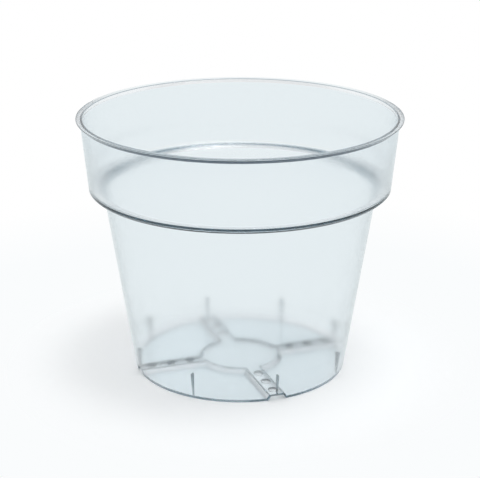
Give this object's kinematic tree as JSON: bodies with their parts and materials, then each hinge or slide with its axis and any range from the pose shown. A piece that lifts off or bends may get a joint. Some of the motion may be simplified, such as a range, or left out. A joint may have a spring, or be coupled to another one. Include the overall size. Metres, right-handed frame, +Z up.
{
  "type": "orchid pot",
  "caption": "Clear plastic orchid pot with a stepped collar, a flat-topped rim lip, raised drain channels across the floor, drain holes and thin stacking ribs inside the wall.",
  "frame": {"origin": "centre of the foot, on the ground plane", "axes": "+Z up along the pot's axis; the drain channels run along +X, +Y, -X and -Y"},
  "size_m": [0.12, 0.12, 0.0972],
  "materials": {
    "clear_plastic": "moulded clear polypropylene, glossy with a faint haze and a pale blue-grey cast"
  },
  "bodies": {
    "root": {"rim_lip": "clear_plastic", "collar_wall": "clear_plastic", "shoulder_step": "clear_plastic", "body_wall": "clear_plastic", "foot_ring": "clear_plastic", "drain_hub": "clear_plastic", "drain_arm_1": "clear_plastic", "drain_arm_2": "clear_plastic", "drain_arm_3": "clear_plastic", "drain_arm_4": "clear_plastic", "floor_pad_1": "clear_plastic", "floor_pad_2": "clear_plastic", "floor_pad_3": "clear_plastic", "floor_pad_4": "clear_plastic", "stacking_rib_1": "clear_plastic", "stacking_rib_2": "clear_plastic", "stacking_rib_3": "clear_plastic", "stacking_rib_4": "clear_plastic", "stacking_rib_5": "clear_plastic", "stacking_rib_6": "clear_plastic", "stacking_rib_7": "clear_plastic", "stacking_rib_8": "clear_plastic"}
  },
  "joints": []
}
